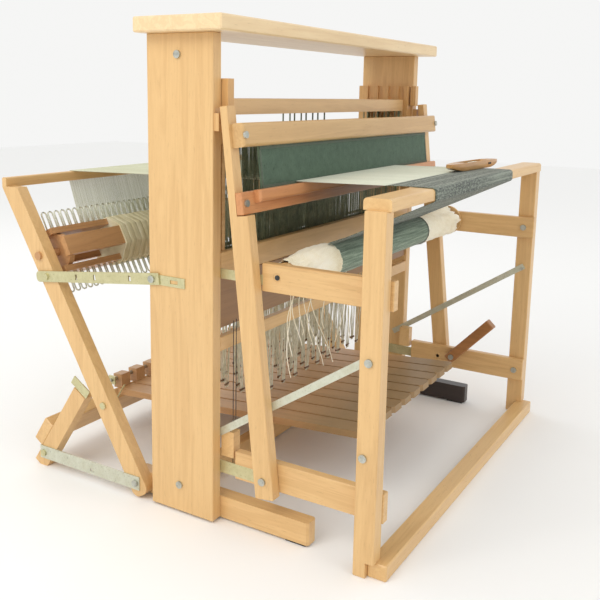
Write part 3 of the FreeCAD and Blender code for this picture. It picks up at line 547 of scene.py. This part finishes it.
def warp_height(y):
    share = max(0.0, (y - warp_start[0]) / (warp_end[0] - warp_start[0]))
    return warp_start[1] + share * (warp_end[1] - warp_start[1])


front_y = breast_low[1]
round_front = [(front_y + CORNER + (CORNER + 0.0016) * math.cos(turn),
                breast_high[2] - CORNER + (CORNER + 0.0016) * math.sin(turn))
               for turn in (math.pi - math.pi / 2 * step / 8 for step in range(9))]
cloth_line = [(roll_axis[0] - 0.010, roll_axis[1] + roll_radius + 0.0008),
              (front_y + 0.002, breast_low[2] - 0.0045), (front_y - 0.0018, breast_low[2] + 0.0005)]
cloth_line += round_front + [warp_start, (FELL_Y, warp_height(FELL_Y))]
green_weave = weave("green_weave", linear(46, 54, 46), linear(82, 92, 80), linear(150, 158, 142))
cloth, cloth_long = sheet_along("woven_cloth", smooth_path(cloth_line), WEB_LEFT, WEB_RIGHT, green_weave,
                                "root", 0.0012)
thicken = cloth.modifiers.new("thickness", "SOLIDIFY")
thicken.thickness = 0.0012
thicken.offset = 0.0
bpy.context.view_layer.objects.active = cloth
bpy.ops.object.modifier_apply(modifier="thickness")
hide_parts("cloth_web")


# ---- Warp between the fell, the harness and the warp beam ----
# Pale yarns, drawn tight: from the fell through reed and heddles, over the back beam and down
# to the turns already wound on the warp beam. Behind the harness they follow the back frame.
yarn_paint, shader = start_material("warp_yarn")
twist = noise(place((1, 1, 1)), 900, 2, 0.6)
tint = noise(place((60, 0.5, 0.5)), 6, 2, 0.5)
feed(shader, Base_Color=ramp(tint * 0.7 + twist * 0.3,
                             [(0.3, linear(196, 200, 180)), (0.6, linear(226, 229, 214)),
                              (0.8, linear(240, 242, 232))]),
     Roughness=0.85, Normal=bump(twist, 0.4, 0.0004))
# Behind the reed the same yarn gets a darker, yellower copy: painted shade on the underside of the warp.
yarn_painted_shade, shader = start_material("warp_yarn_painted_shade")
twist = noise(place((1, 1, 1)), 900, 2, 0.6)
tint = noise(place((60, 0.5, 0.5)), 6, 2, 0.5)
feed(shader, Base_Color=ramp(tint * 0.7 + twist * 0.3,
                             [(0.34, linear(180, 182, 152)), (0.5, linear(208, 210, 184)),
                              (0.66, linear(226, 228, 208))]),
     Roughness=0.85, Normal=bump(twist, 0.4, 0.0004))
drum_low, drum_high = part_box("wound_warp")
drum_axis = ((drum_low[1] + drum_high[1]) / 2, (drum_low[2] + drum_high[2]) / 2)
drum_radius = (drum_high[2] - drum_low[2]) / 2
back_y = beam_high[1]
over_beam = [(back_y - 0.006 + 0.0072 * math.cos(turn), beam_high[2] - 0.006 + 0.0072 * math.sin(turn))
             for turn in (math.pi / 2 - math.pi / 2 * step / 6 for step in range(7))]
foot = (back_y + 0.0012, beam_low[2] - 0.001)
away = math.hypot(foot[0] - drum_axis[0], foot[1] - drum_axis[1])
wind = drum_radius + 0.0012
touch = math.atan2(foot[1] - drum_axis[1], foot[0] - drum_axis[0]) - math.acos(wind / away)
on_drum = (drum_axis[0] + wind * math.cos(touch), drum_axis[1] + wind * math.sin(touch))
YARN_PITCH = 0.0030
FRONT_YARN_RADIUS = 0.0012
BACK_YARN_RADIUS = 0.0011
random.seed(5)


def front_yarns(shape):
    count = int((WEB_RIGHT - WEB_LEFT) / YARN_PITCH)
    gap_y = reed_low[1] - 0.002
    for index in range(count + 1):
        x = WEB_LEFT + 0.002 + index * (WEB_RIGHT - WEB_LEFT - 0.004) / count
        add_tube(shape, [(x, FELL_Y - 0.004, warp_height(FELL_Y)), (x, gap_y, warp_height(gap_y))],
                 FRONT_YARN_RADIUS, 4)


def back_yarns(shape):
    count = int((WEB_RIGHT - WEB_LEFT) / YARN_PITCH)
    harness_y = [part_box("harness_%d" % (number + 1)) for number in range(4)]
    for index in range(count + 1):
        x = WEB_LEFT + 0.002 + index * (WEB_RIGHT - WEB_LEFT - 0.004) / count
        wobble = random.uniform(-0.0006, 0.0006)
        start = reed_high[1] - 0.012
        line = [(start, warp_height(start))]
        shaft = harness_y[index % 4]
        line.append(((shaft[0][1] + shaft[1][1]) / 2, warp_height((shaft[0][1] + shaft[1][1]) / 2)))
        line.append((warp_end[0] - 0.01, warp_end[1]))
        line += over_beam + [foot, on_drum]
        add_tube(shape, [(x + wobble * (step % 2), y, z) for step, (y, z) in enumerate(line)],
                 BACK_YARN_RADIUS, 4)


yarns_front = finish_mesh("warp_before_reed", front_yarns, yarn_paint, "root")
yarns_back = finish_mesh("warp_behind_reed", back_yarns, yarn_painted_shade, None)
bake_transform(yarns_back)
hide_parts("warp_sheet")


# ---- Wound warp and the wire hoops of the sectional beam ----
# Each inch of warp is wound round the four slats as a flat bundle. Bent wire hoops on two of the
# slats, one to the inch, keep the bundles apart.
def lathe(shape, profile, axis, steps=64):
    """Turns a profile of (x, radius) round an axis along X."""
    rings = []
    for x, radius in profile:
        rings.append([shape.verts.new((x, axis[0] + radius * math.cos(turn),
                                       axis[1] + radius * math.sin(turn)))
                      for turn in (2 * math.pi * step / steps for step in range(steps))])
    for one, two in zip(rings, rings[1:]):
        for index in range(steps):
            after = (index + 1) % steps
            shape.faces.new((one[index], one[after], two[after], two[index]))
    for ring in (rings[0], rings[-1]):
        shape.faces.new(ring)


HOOP_PITCH = 0.0254
hoops_low, hoops_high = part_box("beam_hoops")
SLAT_TURNS = [math.radians(-27 - 90 * number) for number in range(4)]
SLAT_TOP = 0.0701
HOOP_TOP = 0.1295
HOOP_WIRE_RADIUS = 0.0025


def wound(shape):
    """Flat turns from slat corner to slat corner, one bundle for each inch."""
    first = math.ceil((WEB_LEFT - hoops_low[0]) / HOOP_PITCH)
    count = int((WEB_RIGHT - WEB_LEFT) / HOOP_PITCH)
    half_slat = 0.030
    for index in range(count):
        left = hoops_low[0] + (first + index) * HOOP_PITCH + 0.0004
        wide = HOOP_PITCH - 0.0008
        thick = random.uniform(0.0045, 0.0062)
        rings = []
        for x, part in ((left, 0.2), (left, 0.8), (left + 0.002, 1.0), (left + wide - 0.002, 1.0),
                        (left + wide, 0.8), (left + wide, 0.2)):
            ring = []
            for turn in SLAT_TURNS:
                out = Vector((0, -math.sin(turn), math.cos(turn)))
                along = Vector((0, math.cos(turn), math.sin(turn)))
                for share in (-1.0, -0.82, 0.0, 0.82, 1.0):
                    grow = thick * part * (0.55 if abs(share) == 1.0 else 1.0)
                    spot = (out * (SLAT_TOP + 0.0004 + grow)
                            + along * share * (half_slat + thick * part * 0.6))
                    ring.append(shape.verts.new((x, drum_axis[0] + spot.y, drum_axis[1] + spot.z)))
            rings.append(ring)
        for one, two in zip(rings, rings[1:]):
            for step in range(len(one)):
                after = (step + 1) % len(one)
                shape.faces.new((one[step], one[after], two[after], two[step]))
        for ring in (rings[0], rings[-1]):
            shape.faces.new(ring)


wound_paint, shader = start_material("wound_yarn")
lines = noise(place((700, 8, 8)), 1.0, 3, 0.65)
patch = noise(place((40, 12, 12)), 1.0, 2, 0.5)
feed(shader, Base_Color=ramp(lines * 0.6 + patch * 0.4,
                             [(0.3, linear(176, 164, 120)), (0.52, linear(218, 210, 176)),
                              (0.72, linear(240, 236, 216))]),
     Roughness=0.88, Normal=bump(lines, 0.6, 0.0012))
random.seed(21)
wound_piece = finish_mesh("wound_yarn", wound, wound_paint, "warp_beam_body")
shade_smooth(wound_piece)
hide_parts("wound_warp")

wire_paint = plated("hoop_wire", linear(234, 236, 220), linear(206, 210, 190), 0.0, 0.4)


def hoops(shape):
    count = int((hoops_high[0] - hoops_low[0]) / HOOP_PITCH)
    for turn in SLAT_TURNS[::2]:
        out = Vector((0, -math.sin(turn), math.cos(turn)))
        centre = Vector((0, drum_axis[0], drum_axis[1]))
        for index in range(count):
            left = hoops_low[0] + 0.0025 + index * HOOP_PITCH
            right_leg = left + HOOP_PITCH - 0.0075
            middle = (left + right_leg) / 2
            half = (right_leg - left) / 2
            line = [centre + Vector((left, 0, 0)) + out * (SLAT_TOP - 0.004)]
            line += [centre + Vector((middle - half * math.cos(angle), 0, 0))
                     + out * (HOOP_TOP - half + half * math.sin(angle))
                     for angle in (math.pi * step / 6 for step in range(7))]
            line.append(centre + Vector((right_leg, 0, 0)) + out * (SLAT_TOP - 0.004))
            add_tube(shape, line, HOOP_WIRE_RADIUS, 6)


hoop_piece = finish_mesh("wire_hoops", hoops, wire_paint, "warp_beam_body")
shade_smooth(hoop_piece)
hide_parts("beam_hoops")


# ---- Cloth roll ----
# The finished web, wound on the cloth beam. Its layers make the roll slightly uneven along its
# length, and the beam comes out of its two flat ends.
ROLL_CORE = 0.0325


def roll_outline(shape):
    profile = []
    steps = 60
    for step in range(steps + 1):
        x = WEB_LEFT + (WEB_RIGHT - WEB_LEFT) * step / steps
        profile.append((x, roll_radius * (0.985 + 0.012 * math.sin(step * 0.9) * math.sin(step * 0.37))))
    profile = [(WEB_LEFT, ROLL_CORE)] + profile + [(WEB_RIGHT, ROLL_CORE)]
    lathe(shape, profile, roll_axis, 72)


roll_paint, shader = start_material("rolled_cloth")
threads = noise(place((6, 160, 160)), 1.0, 3, 0.6)
fine_weave = noise(place((900, 900, 900)), 1.0, 2, 0.6)
feed(shader, Base_Color=ramp(threads * 0.6 + fine_weave * 0.4,
                             [(0.38, linear(74, 92, 76)), (0.5, linear(112, 132, 112)),
                              (0.64, linear(158, 174, 152))]),
     Roughness=0.88, Sheen_Weight=0.25, Normal=bump(fine_weave + threads * 0.6, 0.6, 0.001))
roll_piece = finish_mesh("rolled_cloth", roll_outline, roll_paint, "cloth_beam_body")
shade_smooth(roll_piece)
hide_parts("cloth_roll")


# ---- Cream apron cloths beside the cloth roll, and the loose thrums ----
# Unbleached cotton cloth gathered round the beam at each side of the web, with a torn outer
# edge. A few cut yarns hang from the near one.
apron_paint, shader = start_material("apron_cotton")
slub = noise(place((420, 420, 420)), 1.0, 3, 0.6)
soil = noise(place((9, 9, 9)), 1.0, 3, 0.55)
feed(shader, Base_Color=ramp(soil * 0.6 + slub * 0.4,
                             [(0.3, linear(216, 200, 160)), (0.48, linear(242, 234, 208)),
                              (0.66, linear(253, 249, 234))]),
     Roughness=0.9, Sheen_Weight=0.3, Normal=bump(slub * 0.6 + soil * 0.4, 0.5, 0.0012))


def gathered_cloth(name, x_outer, x_inner, small, large, body, seed):
    """Cloth wrapped once round the cloth beam, in folds that open towards its torn outer edge."""
    random.seed(seed)
    mesh = bpy.data.meshes.new(name)
    shape = bmesh.new()
    uv = shape.loops.layers.uv.new("cut")
    around, along = 96, 40
    torn = [random.uniform(-0.010, 0.010) for index in range(around + 1)]
    torn[-1] = torn[0]
    rows = []
    for step in range(along + 1):
        share = step / along
        row = []
        for index in range(around + 1):
            turn = 2 * math.pi * index / around
            open_part = (1 - share) ** 1.5
            fold = (math.sin(turn * 5 + share * 3.0) * 0.55 + math.sin(turn * 9 - share * 5.0) * 0.3
                    + math.sin(turn * 2 + 1.0) * 0.3)
            crease = math.sin(turn * 17 + share * 23) * math.sin(turn * 3 - share * 11)
            radius = (small + (large - small) * min(1.0, share * 1.7)
                      + (0.0085 * fold + 0.0016 * crease) * (1.0 - share) * (0.45 + open_part * 0.6)
                      + 0.0007 * crease)
            radius = max(radius, 0.0338 + 0.0006 * math.sin(turn * 13))
            x = x_outer + (x_inner - x_outer) * share + torn[index] * (open_part + 0.25 * share)
            row.append(shape.verts.new((x, roll_axis[0] + radius * math.cos(turn),
                                        roll_axis[1] + radius * math.sin(turn))))
        rows.append(row)
    girth = 2 * math.pi * (small + large) / 2
    for step in range(along):
        for index in range(around):
            face = shape.faces.new((rows[step][index], rows[step + 1][index],
                                    rows[step + 1][index + 1], rows[step][index + 1]))
            for loop, (r, c) in zip(face.loops, ((step, index), (step + 1, index),
                                                 (step + 1, index + 1), (step, index + 1))):
                loop[uv].uv = (c / around * girth, r / along * abs(x_inner - x_outer))
    bmesh.ops.recalc_face_normals(shape, faces=shape.faces)
    area = sum(face.calc_area() for face in shape.faces)
    shape.to_mesh(mesh)
    shape.free()
    piece = bpy.data.objects.new(name, mesh)
    bpy.context.collection.objects.link(piece)
    piece.data.materials.append(apron_paint)
    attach(piece, body)
    shade_smooth(piece)
    length = abs(x_inner - x_outer)
    return piece, (area / length, length)


apron_near, near_cut = gathered_cloth("apron_cloth_near", -0.575, WEB_LEFT + 0.02, 0.036,
                                      roll_radius + 0.0035, "cloth_beam_body", 11)
apron_far, far_cut = gathered_cloth("apron_cloth_far", 0.560, WEB_RIGHT - 0.006, 0.049, roll_radius + 0.002,
                                    "cloth_beam_body", 12)

THRUM_DEPTH = -0.3185
THRUM_RADIUS = 0.0011
# Across the loom and up, at the top, the middle and the foot of each yarn.
THRUMS = [
    ((-0.566, 0.668), (-0.575, 0.55), (-0.558, 0.425)),
    ((-0.520, 0.664), (-0.470, 0.58), (-0.388, 0.409)),
    ((-0.470, 0.662), (-0.440, 0.56), (-0.323, 0.400)),
    ((-0.300, 0.660), (-0.235, 0.56), (-0.206, 0.441)),
    ((-0.560, 0.664), (-0.545, 0.60), (-0.512, 0.499)),
    ((-0.440, 0.662), (-0.480, 0.57), (-0.453, 0.484)),
    ((-0.545, 0.662), (-0.580, 0.60), (-0.560, 0.482)),
    ((-0.240, 0.660), (-0.270, 0.56), (-0.300, 0.452)),
    ((-0.505, 0.660), (-0.520, 0.54), (-0.490, 0.520)),
    ((-0.390, 0.660), (-0.400, 0.58), (-0.372, 0.512)),
]


def thrums(shape):
    random.seed(17)
    for top, middle, low in THRUMS:
        points = []
        phase = random.uniform(0, 6)
        for step in range(25):
            share = step / 24
            x = (1 - share) ** 2 * top[0] + 2 * share * (1 - share) * middle[0] + share ** 2 * low[0]
            z = (1 - share) ** 2 * top[1] + 2 * share * (1 - share) * middle[1] + share ** 2 * low[1]
            sway = 0.004 * math.sin(share * 9 + phase) * share
            points.append((x + sway, THRUM_DEPTH + 0.006 * math.sin(share * 7 + phase), z))
        add_tube(shape, points, THRUM_RADIUS, 5)


thrum_piece = finish_mesh("loose_thrums", thrums, apron_paint, "root")


# ---- Lamms and tie-up cords ----
# Eight thin maple levers lie across the loom under the harnesses. White cords with a wooden
# peg at the foot tie each treadle to them; the cords' spare ends stand up through the lamms.
LAMM_LOW, LAMM_HIGH = 0.452, 0.474
harness_low = min(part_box("harness_%d" % (count + 1))[0][2] for count in range(4))
TIE_ROWS = [-0.0785 + 0.0286 * row for row in range(8)]
lamm_paint = wood("maple_lamms", linear(222, 184, 130), linear(178, 132, 84), "X", seed=6.1)


def lamms(shape):
    for y in TIE_ROWS:
        add_bar(shape, (-0.545, y, (LAMM_LOW + LAMM_HIGH) / 2), (0.545, y, (LAMM_LOW + LAMM_HIGH) / 2),
                0.009, LAMM_HIGH - LAMM_LOW)


lamm_piece = finish_mesh("lamms", lamms, lamm_paint, "root")

cord_paint, shader = start_material("tie_cord")
lay_lines = noise(place((300, 300, 60)), 1.0, 2, 0.6)
feed(shader, Base_Color=ramp(lay_lines, [(0.3, linear(190, 186, 160)), (0.7, linear(238, 236, 218))]),
     Roughness=0.85, Normal=bump(lay_lines, 0.4, 0.0006))
peg_paint = wood("dark_pegs", linear(120, 84, 50), linear(70, 44, 26), "Z", seed=2.9)
LEAN_TREADLE = math.radians(3.8)
CORD_RADIUS = 0.0014
PEG_RADIUS = 0.0036
PEG_HALF = 0.011
for count in range(10):
    label = "treadle_%d" % (count + 1)
    low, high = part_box(label)
    x = (low[0] + high[0]) / 2

    def treadle_top(y):
        """Height of the blade's upper face at a depth across the loom."""
        front = min(vertex.co.y for vertex in nodes[label].data.vertices)
        near_front = max(vertex.co.z for vertex in nodes[label].data.vertices if vertex.co.y < front + 0.02)
        return near_front + (y - front) * math.tan(LEAN_TREADLE)

    def cords(shape):
        random.seed(40 + count)
        for row, y in enumerate(TIE_ROWS):
            lean = random.uniform(-0.002, 0.002)
            spot = x + (0.010 if row % 2 else -0.010)
            ground = treadle_top(y)
            top = min(LAMM_HIGH + 0.055 + random.uniform(-0.01, 0.01), harness_low - 0.008)
            for aside in (-0.016, -0.004, 0.008, 0.018):
                drift = random.uniform(-0.006, 0.006)
                add_tube(shape, [(spot + aside * 0.4, y, ground - 0.004),
                                 (spot + aside + lean, y + drift, (ground + top) / 2),
                                 (spot + aside * 1.2, y, top)], CORD_RADIUS, 5)

    def pegs(shape):
        random.seed(60 + count)
        for row, y in enumerate(TIE_ROWS):
            spot = x + (0.010 if row % 2 else -0.010)
            turn = random.uniform(-0.5, 0.5)
            low_end = treadle_top(y) + random.uniform(0.003, 0.007)
            add_tube(shape, [(spot - PEG_HALF, y - 0.006 * turn, low_end),
                             (spot + PEG_HALF, y + 0.006 * turn, low_end)], PEG_RADIUS, 6)

    cord_piece = finish_mesh("tie_cords_%d" % (count + 1), cords, cord_paint, "treadle_body_%d" % (count + 1))
    peg_piece = finish_mesh("tie_pegs_%d" % (count + 1), pegs, peg_paint, "treadle_body_%d" % (count + 1))


# ---- Near-side cables and the cloth beam's axle ends ----
# Two thin steel cables run down inside the near side from the harness to the floor stretcher.
# The cloth beam's axle shows as dark steel ends in the side rails.
def cables(shape):
    for x, y in ((-0.556, -0.148), (-0.572, -0.150)):
        add_tube(shape, [(x, y, 0.553), (x, y, 0.150)], 0.0012, 6)


def axle_caps(shape):
    for side in (-1, 1):
        add_tube(shape, [(side * 0.6137, roll_axis[0], roll_axis[1]),
                         (side * 0.6162, roll_axis[0], roll_axis[1])], 0.0065, 16)


cable_piece = finish_mesh("side_cables", cables, rubber, "root")
cap_piece = finish_mesh("cloth_beam_axle_caps", axle_caps, rubber, "cloth_beam_body")


# ---- Boat shuttle ----
# A turned-up boat of honey-coloured hardwood with a long well, a steel spindle and a bobbin
# of pale yarn. It rests on the web in front of the fell.
shuttle_low, shuttle_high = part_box("boat_shuttle")
shuttle_middle = (shuttle_low + shuttle_high) / 2
SHUTTLE_YAW = math.radians(-4.5)
SHUTTLE_LONG = (shuttle_high[0] - shuttle_low[0]) / math.cos(SHUTTLE_YAW) * 0.985
SHUTTLE_TALL = shuttle_high[2] - shuttle_low[2]
SHUTTLE_WIDE = 0.042
SPINDLE_LEVEL = SHUTTLE_TALL * 0.55


def aboard(u, v, w):
    """A point on the shuttle: along it, across it and up from its sole."""
    return Vector((shuttle_middle[0] + u * math.cos(SHUTTLE_YAW) - v * math.sin(SHUTTLE_YAW),
                   shuttle_middle[1] + u * math.sin(SHUTTLE_YAW) + v * math.cos(SHUTTLE_YAW),
                   shuttle_low[2] + w))


def shuttle_hull(shape):
    steps, half = 48, SHUTTLE_LONG / 2
    rings = []
    for step in range(steps + 1):
        u = -half + 2 * half * step / steps
        taper = max(0.0, 1 - abs(u / half) ** 4.5) ** 0.6
        wide = 0.009 + (SHUTTLE_WIDE / 2 - 0.009) * taper
        rise = SHUTTLE_TALL * 0.5 * max(0.0, (abs(u / half) - 0.55) / 0.45) ** 1.6
        top = SHUTTLE_TALL * (1 - 0.10 * abs(u / half) ** 3.0)
        deep = top - 0.0035
        inside = 0.0
        if abs(u) < half * 0.52:
            inside = max(0.0, 1 - (abs(u) / (half * 0.52)) ** 8)
        floor_level = top - (deep - 0.004) * inside
        lip = (wide - 0.0048) * (1.0 if inside > 0 else 0.9)
        rings.append([shape.verts.new(aboard(u, *spot)) for spot in (
            (wide * 0.86, rise), (wide, rise + (top - rise) * 0.2), (wide * 0.97, top - 0.002),
            (wide * 0.9, top),
            (lip, top - 0.0004), (lip * 0.98, floor_level), (-lip * 0.98, floor_level), (-lip, top - 0.0004),
            (-wide * 0.9, top), (-wide * 0.97, top - 0.002), (-wide, rise + (top - rise) * 0.2),
            (-wide * 0.86, rise))])
    for one, two in zip(rings, rings[1:]):
        for index in range(len(one)):
            after = (index + 1) % len(one)
            shape.faces.new((one[index], one[after], two[after], two[index]))
    shape.faces.new(rings[0])
    shape.faces.new(rings[-1])


def bobbin(shape):
    rows = []
    half = SHUTTLE_LONG * 0.19
    for step in range(21):
        u = -half + 2 * half * step / 20
        radius = 0.0030 + 0.0062 * max(0.0, 1 - abs(u / half) ** 2.6) + 0.0004 * math.sin(step * 2.4)
        rows.append([shape.verts.new(aboard(u, radius * math.cos(turn),
                                            SPINDLE_LEVEL + radius * math.sin(turn)))
                     for turn in (2 * math.pi * part / 16 for part in range(16))])
    for one, two in zip(rows, rows[1:]):
        for index in range(16):
            after = (index + 1) % 16
            shape.faces.new((one[index], one[after], two[after], two[index]))
    shape.faces.new(rows[0])
    shape.faces.new(rows[-1])


def spindle(shape):
    half = SHUTTLE_LONG * 0.265
    add_tube(shape, [tuple(aboard(-half, 0, SPINDLE_LEVEL)), tuple(aboard(half, 0, SPINDLE_LEVEL))],
             0.0013, 8)


def thread_eye(shape):
    face = SHUTTLE_WIDE / 2 - 0.0015
    add_bar(shape, tuple(aboard(0.076, -face, SHUTTLE_TALL * 0.56)),
            tuple(aboard(0.098, -face, SHUTTLE_TALL * 0.56)), 0.006, 0.0045, Vector((0, 0, 1)))


hull_paint = wood("shuttle_cherry", linear(206, 158, 98), linear(150, 100, 54), "X", seed=9.9, gloss=0.28)
hull = finish_mesh("shuttle_hull", shuttle_hull, hull_paint, "shuttle")
filled = finish_mesh("shuttle_bobbin", bobbin, yarn_paint, "shuttle")
pin = finish_mesh("shuttle_spindle", spindle, pale_zinc, "shuttle")
eye = finish_mesh("shuttle_eye", thread_eye, rubber, "shuttle")
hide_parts("boat_shuttle")
for piece in (hull, filled):
    shade_smooth(piece)
hull.data.set_sharp_from_angle(angle=math.radians(40))
